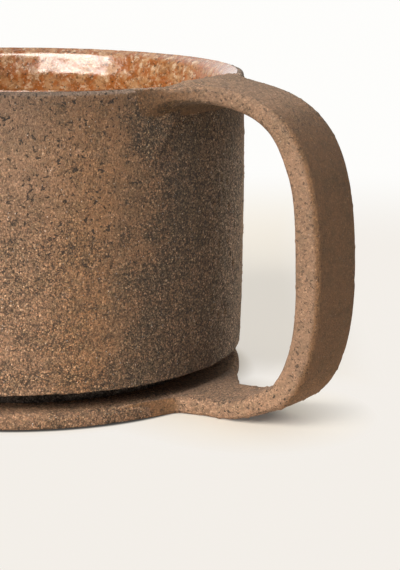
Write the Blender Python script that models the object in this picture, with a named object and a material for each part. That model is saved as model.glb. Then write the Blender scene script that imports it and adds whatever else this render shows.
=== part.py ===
# Handmade stoneware coffee cup.
# A turned wall stands on a recessed neck and a base disc of its own width.
# A strap leaves the disc as a tongue, turns up and joins the wall at the lip.
# Metres, +Z up. The origin is the centre of the disc's underside, and the handle points to +X.

import math

import bmesh
import bpy
from mathutils import Vector

# Cup wall and floor
CUP_HEIGHT = 0.0659          # from the table to the lip
LIP_RADIUS = 0.0477          # outer radius just under the lip
BELLY_SWELL = 0.0007         # how much further out the wall stands at its fullest
BELLY_RISE = 0.0210          # from the wall's lower edge to its fullest height
EDGE_TUCK = 0.0004           # how far the lower edge draws in again below the fullest height
WALL_THICKNESS = 0.0038
WALL_EDGE_BREAK = 0.0004     # softening of the wall's crisp lower edge
LIP_OUTER_ROUND = 0.0008
LIP_INNER_ROUND = 0.0018
FLOOR_THICKNESS = 0.0045

# Base disc and neck
DISC_PROUD = 0.0002          # how much further out than the lip the disc reaches
DISC_THICKNESS = 0.0033
DISC_TOP_ROUND = 0.0014
DISC_FOOT_ROUND = 0.0008
NECK_RECESS = 0.0079         # how far the neck stands back from the disc's edge
SHADOW_GAP = 0.0037          # open height between the disc and the wall's lower edge

# Glaze inside the cup
GLAZE_THICKNESS = 0.0006
GLAZE_CORNER_RADIUS = 0.0050
GLAZE_LIP_TURN = 35          # degrees that the glaze follows the lip's inner rounding

# Handle strap
STRAP_WIDTH = 0.0153
STRAP_EDGE_ROUND = 0.0014
STRAP_ABOVE_LIP = 0.0007     # the strap's top face stands this far above the lip
TONGUE_LIFT = 0.0001         # the tongue's underside hangs this far above the table
FINGER_GAP = 0.0263          # from the lip radius to the inner face of the grip
GRIP_DROP = 0.0024           # how far the grip's middle lies below half the strap's height
GRIP_LEAN = 0.032            # how far the grip leans out per length downwards
HEEL_REACH = 0.0221          # from the disc's edge to the heel, where the tongue turns up
HEEL_LIFT = 0.0039           # how far the heel stands above the tongue's underside
HEEL_SLOPE = 21              # degrees that the strap rises at the heel

# Thickness of the strap, from the wall down to the disc
ROOT_THICKNESS = 0.0037
SHOULDER_THICKNESS = 0.0036
UPPER_BEND_THICKNESS = 0.0050
GRIP_THICKNESS = 0.0055
LOWER_GRIP_THICKNESS = 0.0052
LOWER_BEND_THICKNESS = 0.0051
HEEL_THICKNESS = 0.0034
TONGUE_THICKNESS = 0.0032

# Lengths of the pulls that shape the strap's bends, as on a drawn curve
ROOT_PULL = 0.0268
ROOT_PULL_RISE = 0.0005
GRIP_PULL_UP = 0.0239
GRIP_PULL_DOWN = 0.0174
HEEL_PULL_UP = 0.0050
HEEL_PULL_BACK = 0.0100
TONGUE_PULL = 0.0133

# Clay pressed into the corners of the two joints
UPPER_COIL_RADIUS = 0.0125   # hollow radius beside the strap
UNDER_COIL_RADIUS = 0.0026   # hollow radius below the strap
UPPER_COIL_ROUND = 0.0012
LOWER_COIL_RADIUS = 0.0090
COIL_TIP = 0.0003            # thickness at which a coil's tapering end is cut off

# Fits and fineness
JOINT_GAP = 0.0003
CUT_MARGIN = 0.0030          # how far a blank runs on past the face that trims it
TURN_STEPS = 72
BEND_STEPS = 14
ARC_STEPS = 4
EDGE_SEGMENTS = 3
SMOOTH_ANGLE = math.radians(38)
MERGE_DISTANCE = 1e-6

# Heights and radii that follow from the sizes above
DISC_RADIUS = LIP_RADIUS + DISC_PROUD
NECK_RADIUS = DISC_RADIUS - NECK_RECESS
WALL_BASE = DISC_THICKNESS + SHADOW_GAP
BELLY_HEIGHT = WALL_BASE + BELLY_RISE
INNER_RADIUS = LIP_RADIUS - WALL_THICKNESS
FLOOR_TOP = WALL_BASE + FLOOR_THICKNESS
STRAP_TOP = CUP_HEIGHT + STRAP_ABOVE_LIP
STRAP_REACH = LIP_RADIUS + FINGER_GAP + GRIP_THICKNESS
HALF_STRAP = STRAP_WIDTH / 2


def clear_scene():
    for item in list(bpy.data.objects):
        bpy.data.objects.remove(item, do_unlink=True)


def make_material(name, colour, roughness):
    material = bpy.data.materials.new(name)
    material.use_nodes = True
    shader = material.node_tree.nodes["Principled BSDF"]
    shader.inputs["Base Color"].default_value = (*colour, 1.0)
    shader.inputs["Roughness"].default_value = roughness
    shader.inputs["Metallic"].default_value = 0.0
    material.diffuse_color = (*colour, 1.0)
    return material


def add_object(name, bm, material):
    """Turn a finished bmesh into a named, smooth-shaded object."""
    bmesh.ops.remove_doubles(bm, verts=bm.verts, dist=MERGE_DISTANCE)
    bmesh.ops.recalc_face_normals(bm, faces=bm.faces)
    mesh = bpy.data.meshes.new(name)
    bm.to_mesh(mesh)
    bm.free()
    mesh.shade_smooth()
    mesh.set_sharp_from_angle(angle=SMOOTH_ANGLE)
    item = bpy.data.objects.new(name, mesh)
    bpy.context.collection.objects.link(item)
    if material:
        mesh.materials.append(material)
    return item


def as_cutter(item):
    item.hide_render = True
    item.display_type = "WIRE"
    return item


def cut(item, cutter):
    modifier = item.modifiers.new("trim by " + cutter.name, "BOOLEAN")
    modifier.operation = "DIFFERENCE"
    modifier.solver = "EXACT"
    modifier.object = cutter


def arc(centre, radius, start, end, steps=ARC_STEPS):
    """Points of an arc in a plane, angles in degrees."""
    points = []
    for step in range(steps + 1):
        angle = math.radians(start + (end - start) * step / steps)
        points.append((centre[0] + radius * math.cos(angle), centre[1] + radius * math.sin(angle)))
    return points


def turned(name, profile, material):
    """Spin a closed (radius, height) outline about the cup's axis."""
    bm = bmesh.new()
    verts = [bm.verts.new((radius, 0.0, height)) for radius, height in profile]
    edges = [bm.edges.new((verts[i], verts[(i + 1) % len(verts)])) for i in range(len(verts))]
    on_axis = [edge for edge in edges if all(abs(vert.co.x) < MERGE_DISTANCE for vert in edge.verts)]
    for edge in on_axis:
        edges.remove(edge)
        bm.edges.remove(edge)
    bmesh.ops.spin(bm, geom=verts + edges, cent=(0, 0, 0), axis=(0, 0, 1),
                   angle=math.tau, steps=TURN_STEPS, use_merge=True)
    return add_object(name, bm, material)


def wall_radius(height):
    """Outer radius of the wall, which swells gently to its belly and draws in again below it."""
    fullest = LIP_RADIUS + BELLY_SWELL
    if height < BELLY_HEIGHT:
        return fullest - EDGE_TUCK * ((BELLY_HEIGHT - height) / BELLY_RISE) ** 2
    return fullest - BELLY_SWELL * ((height - BELLY_HEIGHT) / (CUP_HEIGHT - BELLY_HEIGHT)) ** 2


def wall_side(grow):
    """The wall's outer side from its lower edge over the lip's rounding, moved out by grow."""
    shoulder = CUP_HEIGHT - LIP_OUTER_ROUND
    rise = (shoulder - WALL_BASE - WALL_EDGE_BREAK) / ARC_STEPS
    heights = [WALL_BASE + WALL_EDGE_BREAK + rise * step for step in range(ARC_STEPS)]
    side = [(wall_radius(height) + grow, height) for height in heights]
    return side + arc((LIP_RADIUS - LIP_OUTER_ROUND, shoulder), LIP_OUTER_ROUND + grow, 0, 90)


def lip_centre():
    """Centre of the rounding on the inner side of the lip."""
    return (INNER_RADIUS + LIP_INNER_ROUND, CUP_HEIGHT - LIP_INNER_ROUND)


def make_wall(material):
    edge_radius = wall_radius(WALL_BASE) - WALL_EDGE_BREAK
    profile = [(INNER_RADIUS, WALL_BASE), (edge_radius, WALL_BASE)]
    profile += wall_side(0.0)
    profile += arc(lip_centre(), LIP_INNER_ROUND, 90, 180)
    return turned("cup_wall", profile, material)


def make_floor(material):
    radius = INNER_RADIUS - JOINT_GAP
    profile = [(0, WALL_BASE), (radius, WALL_BASE), (radius, FLOOR_TOP), (0, FLOOR_TOP)]
    return turned("cup_floor", profile, material)


def glaze_corner():
    """Centre of the hollow corner that the glaze follows."""
    return (INNER_RADIUS - JOINT_GAP - GLAZE_CORNER_RADIUS, FLOOR_TOP + JOINT_GAP + GLAZE_CORNER_RADIUS)


def make_seam_coil(material):
    """A ring of clay in the corner of wall and floor, under the glaze."""
    tip = math.degrees(math.acos(GLAZE_CORNER_RADIUS / (GLAZE_CORNER_RADIUS + JOINT_GAP)))
    hollow = arc(glaze_corner(), GLAZE_CORNER_RADIUS + JOINT_GAP, -tip, -90 + tip)
    profile = [(INNER_RADIUS - JOINT_GAP, FLOOR_TOP + JOINT_GAP)] + hollow
    return turned("floor_seam_coil", profile, material)


def make_glaze(material):
    """The lining: over the floor, round the corner, up the wall and over the inner lip."""
    base = FLOOR_TOP + JOINT_GAP
    corner = glaze_corner()
    lip_end = 180 - GLAZE_LIP_TURN
    back_round = LIP_INNER_ROUND + JOINT_GAP
    profile = [(0, base)]
    profile += arc(corner, GLAZE_CORNER_RADIUS, -90, 0)
    profile += arc(lip_centre(), back_round, 180, lip_end)
    profile += arc(lip_centre(), back_round + GLAZE_THICKNESS, lip_end, 180)
    profile += arc(corner, GLAZE_CORNER_RADIUS - GLAZE_THICKNESS, 0, -90)
    profile += [(0, base + GLAZE_THICKNESS)]
    return turned("inner_glaze", profile, material)


def make_neck(material):
    base = DISC_THICKNESS + JOINT_GAP
    top = WALL_BASE - JOINT_GAP
    return turned("neck_slab", [(0, base), (NECK_RADIUS, base), (NECK_RADIUS, top), (0, top)], material)


def make_disc(material):
    foot_centre = (DISC_RADIUS - DISC_FOOT_ROUND, DISC_FOOT_ROUND)
    top_centre = (DISC_RADIUS - DISC_TOP_ROUND, DISC_THICKNESS - DISC_TOP_ROUND)
    profile = [(0, 0)]
    profile += arc(foot_centre, DISC_FOOT_ROUND, -90, 0)
    profile += arc(top_centre, DISC_TOP_ROUND, 0, 90)
    profile += [(0, DISC_THICKNESS)]
    return turned("base_disc", profile, material)


def pulled_curve(start, start_pull, end_pull, end):
    """Points of a cubic curve in the (x, z) plane, drawn by two pulls."""
    points = []
    for step in range(BEND_STEPS + 1):
        t = step / BEND_STEPS
        shares = ((1 - t) ** 3, 3 * t * (1 - t) ** 2, 3 * t * t * (1 - t), t ** 3)
        corners = (start, start_pull, end_pull, end)
        points.append(Vector(sum(share * corner[axis] for share, corner in zip(shares, corners))
                             for axis in range(2)))
    return points


def strap_outer_line():
    """The strap's outer face from the wall down to the disc, in the (x, z) plane."""
    middle = (STRAP_TOP + TONGUE_LIFT) / 2 - GRIP_DROP
    grip = (STRAP_REACH, middle)
    above_grip = (STRAP_REACH - GRIP_LEAN * GRIP_PULL_UP, middle + GRIP_PULL_UP)
    below_grip = (STRAP_REACH + GRIP_LEAN * GRIP_PULL_DOWN, middle - GRIP_PULL_DOWN)
    heel = Vector((DISC_RADIUS + HEEL_REACH, TONGUE_LIFT + HEEL_LIFT))
    rise = Vector((math.cos(math.radians(HEEL_SLOPE)), math.sin(math.radians(HEEL_SLOPE))))
    root_pull = (LIP_RADIUS + ROOT_PULL, STRAP_TOP + ROOT_PULL_RISE)
    tongue_pull = (DISC_RADIUS + TONGUE_PULL, TONGUE_LIFT)
    upper = pulled_curve((LIP_RADIUS, STRAP_TOP), root_pull, above_grip, grip)
    lower = pulled_curve(grip, below_grip, heel + rise * HEEL_PULL_UP, heel)
    tongue = pulled_curve(heel, heel - rise * HEEL_PULL_BACK, tongue_pull, (DISC_RADIUS, TONGUE_LIFT))
    return upper + lower[1:] + tongue[1:]


def strap_thickness(share):
    """Thickness along the strap, eased from one named thickness to the next."""
    stations = ((0.0, ROOT_THICKNESS), (0.17, SHOULDER_THICKNESS), (0.33, UPPER_BEND_THICKNESS),
                (0.50, GRIP_THICKNESS), (0.67, LOWER_GRIP_THICKNESS), (0.82, LOWER_BEND_THICKNESS),
                (0.90, HEEL_THICKNESS), (1.0, TONGUE_THICKNESS))
    for (start, before), (end, after) in zip(stations, stations[1:]):
        if share <= end:
            ease = 0.5 - 0.5 * math.cos(math.pi * (share - start) / (end - start))
            return before + (after - before) * ease
    return TONGUE_THICKNESS


def strap_outline(grow):
    """Closed outline of the strap seen from its side, every face moved out by grow."""
    line = strap_outer_line()
    lengths = [0.0]
    for before, after in zip(line, line[1:]):
        lengths.append(lengths[-1] + (after - before).length)
    line = [Vector((INNER_RADIUS, STRAP_TOP))] + line + [Vector((DISC_RADIUS - CUT_MARGIN, TONGUE_LIFT))]
    lengths = [0.0] + lengths + [lengths[-1]]
    outer, inner = [], []
    for index, point in enumerate(line):
        along = line[min(index + 1, len(line) - 1)] - line[max(index - 1, 0)]
        inward = Vector((along.y, -along.x)).normalized()
        thickness = strap_thickness(lengths[index] / lengths[-1])
        outer.append(point - inward * grow)
        inner.append(point + inward * (thickness + grow))
    return outer + inner[::-1]


def strap_blank(name, grow, material):
    """The bent strap before its ends are trimmed, with all its long edges rounded."""
    bm = bmesh.new()
    half = HALF_STRAP + grow
    outline = strap_outline(grow)
    verts = [bm.verts.new((x, -half, z)) for x, z in outline]
    side = bm.faces.new(verts)
    moved = bmesh.ops.extrude_face_region(bm, geom=[side])["geom"]
    far_verts = [part for part in moved if isinstance(part, bmesh.types.BMVert)]
    bmesh.ops.translate(bm, verts=far_verts, vec=(0, 2 * half, 0))
    ends = (INNER_RADIUS + grow, DISC_RADIUS - CUT_MARGIN + grow)
    long_edges = []
    for edge in bm.edges:
        one, other = edge.verts
        if abs(one.co.y - other.co.y) < MERGE_DISTANCE and abs(one.co.x - other.co.x) > MERGE_DISTANCE:
            long_edges.append(edge)
        elif abs(one.co.y - other.co.y) < MERGE_DISTANCE and one.co.x > max(ends) + CUT_MARGIN:
            long_edges.append(edge)
    bmesh.ops.bevel(bm, geom=long_edges, offset=STRAP_EDGE_ROUND, offset_type="OFFSET",
                    segments=EDGE_SEGMENTS, profile=0.5, affect="EDGES", clamp_overlap=True, material=-1)
    return add_object(name, bm, material)


def wall_cutter():
    """The wall's outside with the joint gap round it, as a plug that runs on past the lip."""
    side = wall_side(JOINT_GAP)[:-ARC_STEPS]
    below = WALL_BASE - CUT_MARGIN
    above = STRAP_TOP + CUT_MARGIN
    profile = [(0, below), (side[0][0], below)] + side + [(side[-1][0], above), (0, above)]
    return as_cutter(turned("wall_clearance", profile, None))


def disc_cutter():
    """The disc's outside with the joint gap round it."""
    radius = DISC_RADIUS + JOINT_GAP
    top = DISC_THICKNESS + CUT_MARGIN
    profile = [(0, -CUT_MARGIN), (radius, -CUT_MARGIN), (radius, top), (0, top)]
    return as_cutter(turned("disc_clearance", profile, None))


def make_strap(material, wall_plug, disc_plug):
    strap = strap_blank("handle_strap", 0.0, material)
    cut(strap, wall_plug)
    cut(strap, disc_plug)
    return strap


def hollow(distance, radius):
    """How far a hollow corner of this radius stands out at a distance from its wall."""
    left = min(max(radius - distance, 0.0), radius)
    return radius - math.sqrt(radius * radius - left * left)


def rounded_ring(half, low, high, radius):
    """Outline in the (y, z) plane of a bar that is 2 * half wide, with rounded corners."""
    reach = half - radius
    ring = []
    for y, z, start in ((reach, high - radius, 0), (-reach, high - radius, 90),
                        (-reach, low + radius, 180), (reach, low + radius, 270)):
        ring += arc((y, z), radius, start, start + 90)
    return ring


def make_upper_coil(material, wall_plug, strap_plug):
    """Clay pressed round the strap's root, hollow against the wall, flush with the strap's top."""
    centre_y = HALF_STRAP + UPPER_COIL_RADIUS
    on_wall = math.asin(centre_y / (LIP_RADIUS + UPPER_COIL_RADIUS))
    centre_x = (LIP_RADIUS + UPPER_COIL_RADIUS) * math.cos(on_wall)
    tip = math.asin(1 - (JOINT_GAP + COIL_TIP) / UPPER_COIL_RADIUS)
    under = STRAP_TOP - ROOT_THICKNESS
    stations = [(LIP_RADIUS * math.cos(on_wall) - CUT_MARGIN, LIP_RADIUS * math.sin(on_wall))]
    for step in range(BEND_STEPS + 1):
        angle = on_wall + (tip - on_wall) * step / BEND_STEPS
        stations.append((centre_x - UPPER_COIL_RADIUS * math.cos(angle),
                         centre_y - UPPER_COIL_RADIUS * math.sin(angle)))
    bm = bmesh.new()
    rings = []
    for x, half in stations:
        low = under - hollow(x - LIP_RADIUS, UNDER_COIL_RADIUS)
        outline = rounded_ring(half, low, STRAP_TOP, UPPER_COIL_ROUND)
        rings.append([bm.verts.new((x, y, z)) for y, z in outline])
    count = len(rings[0])
    for before, after in zip(rings, rings[1:]):
        for i in range(count):
            bm.faces.new((before[i], before[(i + 1) % count], after[(i + 1) % count], after[i]))
    bm.faces.new(rings[0])
    bm.faces.new(rings[-1][::-1])
    coil = add_object("upper_root_coil", bm, material)
    cut(coil, wall_plug)
    cut(coil, strap_plug)
    return coil


def make_lower_coil(name, hand, material):
    """A hollow wedge that fills the corner between the disc's edge and one side of the tongue."""
    side = HALF_STRAP + JOINT_GAP
    rim = DISC_RADIUS + JOINT_GAP
    centre_y = side + LOWER_COIL_RADIUS
    centre_x = math.sqrt((rim + LOWER_COIL_RADIUS) ** 2 - centre_y ** 2)
    on_rim = 180 + math.degrees(math.atan2(centre_y, centre_x))
    tip = math.degrees(math.acos(1 - COIL_TIP / LOWER_COIL_RADIUS))
    outline = arc((centre_x, centre_y), LOWER_COIL_RADIUS, 270 - tip, on_rim + tip, BEND_STEPS)
    tongue_end = (outline[0][0], side)
    rim_start = math.atan2(outline[-1][1], outline[-1][0])
    rim_end = math.asin(side / rim)
    for step in range(ARC_STEPS + 1):
        angle = rim_start + (rim_end - rim_start) * step / ARC_STEPS
        outline.append((rim * math.cos(angle), rim * math.sin(angle)))
    outline.append(tongue_end)
    bm = bmesh.new()
    base = bm.faces.new([bm.verts.new((x, hand * y, TONGUE_LIFT)) for x, y in outline])
    moved = bmesh.ops.extrude_face_region(bm, geom=[base])["geom"]
    top_verts = [part for part in moved if isinstance(part, bmesh.types.BMVert)]
    bmesh.ops.translate(bm, verts=top_verts, vec=(0, 0, TONGUE_THICKNESS))
    return add_object(name, bm, material)


def main():
    clear_scene()
    clay = (0.300, 0.172, 0.100)
    wall_clay = make_material("wall clay", clay, 0.92)
    floor_clay = make_material("floor clay", (0.290, 0.168, 0.098), 0.92)
    coil_clay = make_material("seam coil clay", (0.285, 0.163, 0.096), 0.94)
    neck_clay = make_material("neck clay", (0.240, 0.138, 0.082), 0.94)
    disc_clay = make_material("disc clay", (0.310, 0.170, 0.095), 0.92)
    strap_clay = make_material("strap clay", (0.330, 0.195, 0.118), 0.90)
    upper_clay = make_material("upper coil clay", (0.310, 0.182, 0.108), 0.92)
    lower_clay = make_material("lower coil clay", (0.320, 0.180, 0.105), 0.92)
    glaze = make_material("orange and white glaze", (0.520, 0.250, 0.140), 0.18)

    make_disc(disc_clay)
    make_neck(neck_clay)
    make_floor(floor_clay)
    make_wall(wall_clay)
    make_seam_coil(coil_clay)
    make_glaze(glaze)

    wall_plug = wall_cutter()
    disc_plug = disc_cutter()
    strap_plug = as_cutter(strap_blank("strap_clearance", JOINT_GAP, None))
    make_strap(strap_clay, wall_plug, disc_plug)
    make_upper_coil(upper_clay, wall_plug, strap_plug)
    make_lower_coil("lower_root_coil_right", -1, lower_clay)
    make_lower_coil("lower_root_coil_left", 1, lower_clay)


main()
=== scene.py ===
import math
import bmesh
import bpy
from mathutils import Matrix, Vector, noise


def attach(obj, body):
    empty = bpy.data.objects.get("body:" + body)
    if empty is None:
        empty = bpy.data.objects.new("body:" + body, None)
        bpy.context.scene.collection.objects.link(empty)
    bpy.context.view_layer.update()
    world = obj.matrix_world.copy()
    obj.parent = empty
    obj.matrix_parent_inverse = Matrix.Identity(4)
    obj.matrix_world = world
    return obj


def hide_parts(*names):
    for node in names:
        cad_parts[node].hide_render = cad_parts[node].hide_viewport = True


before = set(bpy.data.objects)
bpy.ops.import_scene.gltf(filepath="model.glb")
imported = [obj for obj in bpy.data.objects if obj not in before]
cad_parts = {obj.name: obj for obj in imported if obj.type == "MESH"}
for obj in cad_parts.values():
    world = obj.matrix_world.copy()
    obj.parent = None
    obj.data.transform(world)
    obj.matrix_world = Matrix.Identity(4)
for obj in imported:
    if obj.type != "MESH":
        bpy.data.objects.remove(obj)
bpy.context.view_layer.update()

print("frame loaded:", ", ".join(sorted(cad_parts)))

# every piece is shaped in millimetres and made metres at the very end
millimetre = 0.001
mergeWithin = 0.0005


def ease(value, start, end):
    share = min(max((value - start) / (end - start), 0.0), 1.0)
    return share * share * (3 - 2 * share)


def within(value, start, full, fullEnd, end):  # rises, stays at one and falls again
    return ease(value, start, full) * (1 - ease(value, fullEnd, end))


def blend(first, second, share):
    return first + (second - first) * share


def arcPoints(centre, radius, start, end, spacing):
    turn = math.radians(end - start)
    steps = max(2, round(abs(turn) * radius / spacing))
    angles = [math.radians(start) + turn * step / steps for step in range(steps + 1)]
    return [(centre[0] + radius * math.cos(angle), centre[1] + radius * math.sin(angle))
            for angle in angles]


def linePoints(start, end, spacing):
    steps = max(1, round(math.dist(start, end) / spacing))
    return [(blend(start[0], end[0], step / steps), blend(start[1], end[1], step / steps))
            for step in range(steps + 1)]


def hollow(distance, radius):  # how far a hollow corner stands out, this far from its wall
    left = min(max(radius - distance, 0.0), radius)
    return radius - math.sqrt(radius * radius - left * left)


# clay relief, the same for every clay piece so that it runs on across the joints
relief = {
    "level": -0.06,
    "swell": 0.13, "swellSize": 16.0,     # slow waves left by the hand
    "dent": 0.06, "dentSize": 4.5,
    "grain": 0.06, "grainSize": 1.2,
    "lump": 0.17, "lumpSize": 1.5, "lumpShare": 0.42,   # grog that stands out
    "pit": 0.22, "pitSize": 2.6, "pitShare": 0.30,
    "spotReach": 0.22, "spotSpread": 0.24,              # of a lump or pit, as shares of its size
    "lowest": 0.02,                                     # nothing sinks into the table
}


def cellDice(point, salt):  # a steady random number for each cell
    return abs(noise.cell(point * 3.7 + Vector((salt, salt * 1.7, salt * 0.6)))) % 1.0


def spotRelief(point, size, share, salt):
    distances, centres = noise.voronoi(point / size + Vector((salt, 0, 0)))
    if cellDice(centres[0], salt) > share:
        return 0.0
    reach = relief["spotReach"] + relief["spotSpread"] * cellDice(centres[0], salt + 5)
    return 1 - ease(distances[0], reach * 0.3, reach)


def clayRelief(point):
    height = relief["level"] + relief["swell"] * noise.noise(point / relief["swellSize"])
    height += relief["dent"] * noise.noise(point / relief["dentSize"] + Vector((9, 4, 2)))
    height += relief["grain"] * noise.noise(point / relief["grainSize"] + Vector((3, 8, 1)))
    height += relief["lump"] * spotRelief(point, relief["lumpSize"], relief["lumpShare"], 11)
    height -= relief["pit"] * spotRelief(point, relief["pitSize"], relief["pitShare"], 23)
    return height


def roughen(bm, amount):
    bm.normal_update()
    moves = [(vert, vert.normal * clayRelief(vert.co) * amount(vert.co)) for vert in bm.verts]
    for vert, move in moves:
        vert.co += move
        vert.co.z = max(vert.co.z, relief["lowest"])


def finishPiece(name, bm, slot, *nodes):
    bmesh.ops.remove_doubles(bm, verts=bm.verts, dist=mergeWithin)
    bmesh.ops.recalc_face_normals(bm, faces=bm.faces)
    bmesh.ops.scale(bm, vec=(millimetre, millimetre, millimetre), verts=bm.verts)
    mesh = bpy.data.meshes.new(name)
    bm.to_mesh(mesh)
    bm.free()
    mesh.shade_smooth()
    piece = bpy.data.objects.new(name, mesh)
    bpy.context.collection.objects.link(piece)
    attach(piece, "root")
    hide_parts(*nodes)
    print(name, "made,", sum(len(face.vertices) - 2 for face in mesh.polygons), "triangles")
    return piece


def spinProfile(profile, segments):
    bm = bmesh.new()
    verts = [bm.verts.new((radius, 0, height)) for radius, height in profile]
    pairs = zip(verts, verts[1:] + verts[:1])
    edges = [bm.edges.new(pair) for pair in pairs if not (pair[0].co.x == 0 and pair[1].co.x == 0)]
    bmesh.ops.spin(bm, geom=verts + edges, axis=(0, 0, 1), cent=(0, 0, 0),
                   angle=math.tau, steps=segments, use_merge=True)
    bmesh.ops.remove_doubles(bm, verts=bm.verts, dist=mergeWithin)
    bmesh.ops.recalc_face_normals(bm, faces=bm.faces)
    return bm


# the wall
wall = {
    "height": 65.9, "lipRadius": 47.7, "innerRadius": 43.9, "base": 7.0,
    "belly": 0.5, "bellyHeight": 28.0, "edgeTuck": 0.3,
    "lipOuterRound": 0.8, "lipInnerRound": 1.8, "edgeBreak": 0.16,
    "segments": 620, "spacing": 0.5,
    "edgeWander": 0.16, "wanderSizes": (5.0, 1.3),       # unevenness of the cut lower edge
    "flare": 1.5, "flareFrom": 60.2, "flareFade": (44.2, 46.9),
    "insideBand": 1.2, "insideRelief": 0.25, "lipRelief": (0.4, 0.7), "lipFade": (45.9, 46.9),
}
smearMark = {  # clay dragged down-left from the near side of the strap's root, turns in degrees
    "top": 62.6, "length": 16.0, "start": -9.0, "slant": 0.62, "bend": 0.012, "perDegree": 0.83,
    "steepSide": 0.8, "softSide": 2.2, "high": 0.45,
}


def wallRadius(height):
    fullest = wall["lipRadius"] + wall["belly"]
    if height < wall["bellyHeight"]:
        share = (wall["bellyHeight"] - height) / (wall["bellyHeight"] - wall["base"])
        return fullest - wall["edgeTuck"] * share * share
    share = (height - wall["bellyHeight"]) / (wall["height"] - wall["bellyHeight"])
    return fullest - wall["belly"] * share * share


def lipFlare(point):  # the inside widens towards the lip
    around = point.xy.length
    if around < wall["innerRadius"] - 4 or point.z < wall["flareFrom"]:
        return
    share = (point.z - wall["flareFrom"]) / (wall["height"] - wall["flareFrom"])
    point.xy *= 1 + wall["flare"] * share * (1 - ease(around, *wall["flareFade"])) / around


def smear(point):
    turn = math.degrees(math.atan2(point.y, point.x))
    fall = smearMark["top"] - point.z
    if fall < -1 or fall > smearMark["length"]:
        return 0.0
    ridge = smearMark["start"] - smearMark["slant"] * fall - smearMark["bend"] * fall * fall
    away = (turn - ridge) * smearMark["perDegree"]
    width = smearMark["steepSide"] if away > 0 else smearMark["softSide"]
    high = smearMark["high"] * math.exp(-(away / width) ** 2)
    return high * (1 - ease(fall, 2.0, smearMark["length"])) * ease(fall, -1.0, 0.5)


def wallRelief(point):
    around = point.xy.length
    if around < wall["innerRadius"] + wall["insideBand"]:
        return wall["insideRelief"]
    if point.z > wall["height"] - wall["lipOuterRound"]:
        return blend(*wall["lipRelief"], ease(around, *wall["lipFade"]))
    return 1


def makeWall():
    low = wall["base"] + wall["edgeBreak"]
    shoulder = wall["height"] - wall["lipOuterRound"]
    side = linePoints((0, low), (0, shoulder), wall["spacing"])
    side = [(wallRadius(height), height) for _, height in side]
    corner = side[0][0] - wall["edgeBreak"]
    profile = linePoints((wall["innerRadius"], wall["base"]), (corner - 0.2, wall["base"]), 0.9)
    profile += [(corner, wall["base"]), side[0], (side[0][0], low + 0.18)] + side[1:]
    profile += arcPoints((wall["lipRadius"] - wall["lipOuterRound"], shoulder),
                         wall["lipOuterRound"], 0, 90, 0.42)[1:]
    inner = wall["lipInnerRound"]
    profile += arcPoints((wall["innerRadius"] + inner, wall["height"] - inner), inner, 90, 180, 0.6)
    profile += linePoints(profile[-1], (wall["innerRadius"], wall["flareFrom"]), 0.8)[1:]
    profile += linePoints(profile[-1], (wall["innerRadius"], wall["base"]), 14)[1:-1]
    bm = spinProfile(profile, wall["segments"])
    for vert in bm.verts:
        lipFlare(vert.co)
    roughen(bm, wallRelief)
    for vert in bm.verts:
        around = vert.co.xy.length
        if around > wall["innerRadius"] + wall["insideBand"] and vert.co.z < shoulder:
            vert.co.xy *= 1 + smear(vert.co) / around
        if vert.co.z < wall["base"] + 1:
            fade = 1 - ease(vert.co.z, wall["base"] + 0.2, wall["base"] + 1)
            place = Vector((vert.co.x, vert.co.y, 0))
            wide, small = wall["wanderSizes"]
            wander = noise.noise(place / wide) + 0.6 * noise.noise(place / small)
            vert.co.z += wall["edgeWander"] * wander * fade
    return finishPiece("wallPiece", bm, "brown_stoneware", "cup_wall")


# the base disc and the neck above it
disc = {
    "radius": 47.9, "thickness": 3.3, "topRound": 1.4, "footRound": 0.5, "segments": 620,
    "plainUnder": 38, "plainTop": 37,       # the plain middle, where nothing is seen
}
neck = {"radius": 40.0, "low": 3.1, "high": 7.2, "segments": 360}


def makeDisc():
    top, foot = disc["topRound"], disc["footRound"]
    under, middle = disc["plainUnder"], disc["plainTop"]
    profile = linePoints((0, 0), (under, 0), 9)
    profile += linePoints((under, 0), (disc["radius"] - foot - 0.4, 0), 2.2)[1:]
    profile += arcPoints((disc["radius"] - foot, foot), foot, -90, 0, 0.4)
    profile += arcPoints((disc["radius"] - top, disc["thickness"] - top), top, 0, 90, 0.42)
    upper = disc["thickness"]
    profile += linePoints((disc["radius"] - top, upper), (middle, upper), 0.55)[1:]
    profile += linePoints((middle, upper), (0, upper), 9)[1:]
    bm = spinProfile(profile, disc["segments"])
    roughen(bm, lambda co: ease(co.z, 0.0, 1.0) * (1 - 0.9 * ease(middle - co.xy.length, 0, 3)))
    return finishPiece("discPiece", bm, "brown_stoneware", "base_disc")


def makeNeck():
    profile = linePoints((0, neck["low"]), (neck["radius"], neck["low"]), 12)
    profile += linePoints((neck["radius"], neck["low"]), (neck["radius"], neck["high"]), 0.55)[1:]
    profile += linePoints((neck["radius"], neck["high"]), (0, neck["high"]), 12)[1:]
    bm = spinProfile(profile, neck["segments"])
    roughen(bm, lambda co: 1 if co.xy.length > neck["radius"] - 0.5 else 0)
    return finishPiece("neckPiece", bm, "brown_stoneware", "neck_slab")


# the glaze lining
glaze = {
    "inner": 43.0, "lipCentre": (45.7, 64.1), "lipReach": 2.05, "lipEnd": 80,
    "floorTop": 12.4, "corner": 4.4, "back": 0.45, "segments": 440, "spacing": 0.5,
    "lump": 0.07, "lumpSize": 2.6, "wave": 0.10, "waveSize": 8.0, "clayShare": 0.28,
    "thinOverLip": (63.2, 65.2, 0.8), "startThin": 0.88,
    "edgeWander": 5.0, "edgeSizes": (3.4, 1.2), "shortBeside": 23.0,     # degrees round the lip
    "besideArc": (-30, -12, 28, 55),     # degrees round the cup, where it stops short above the handle
}


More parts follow.
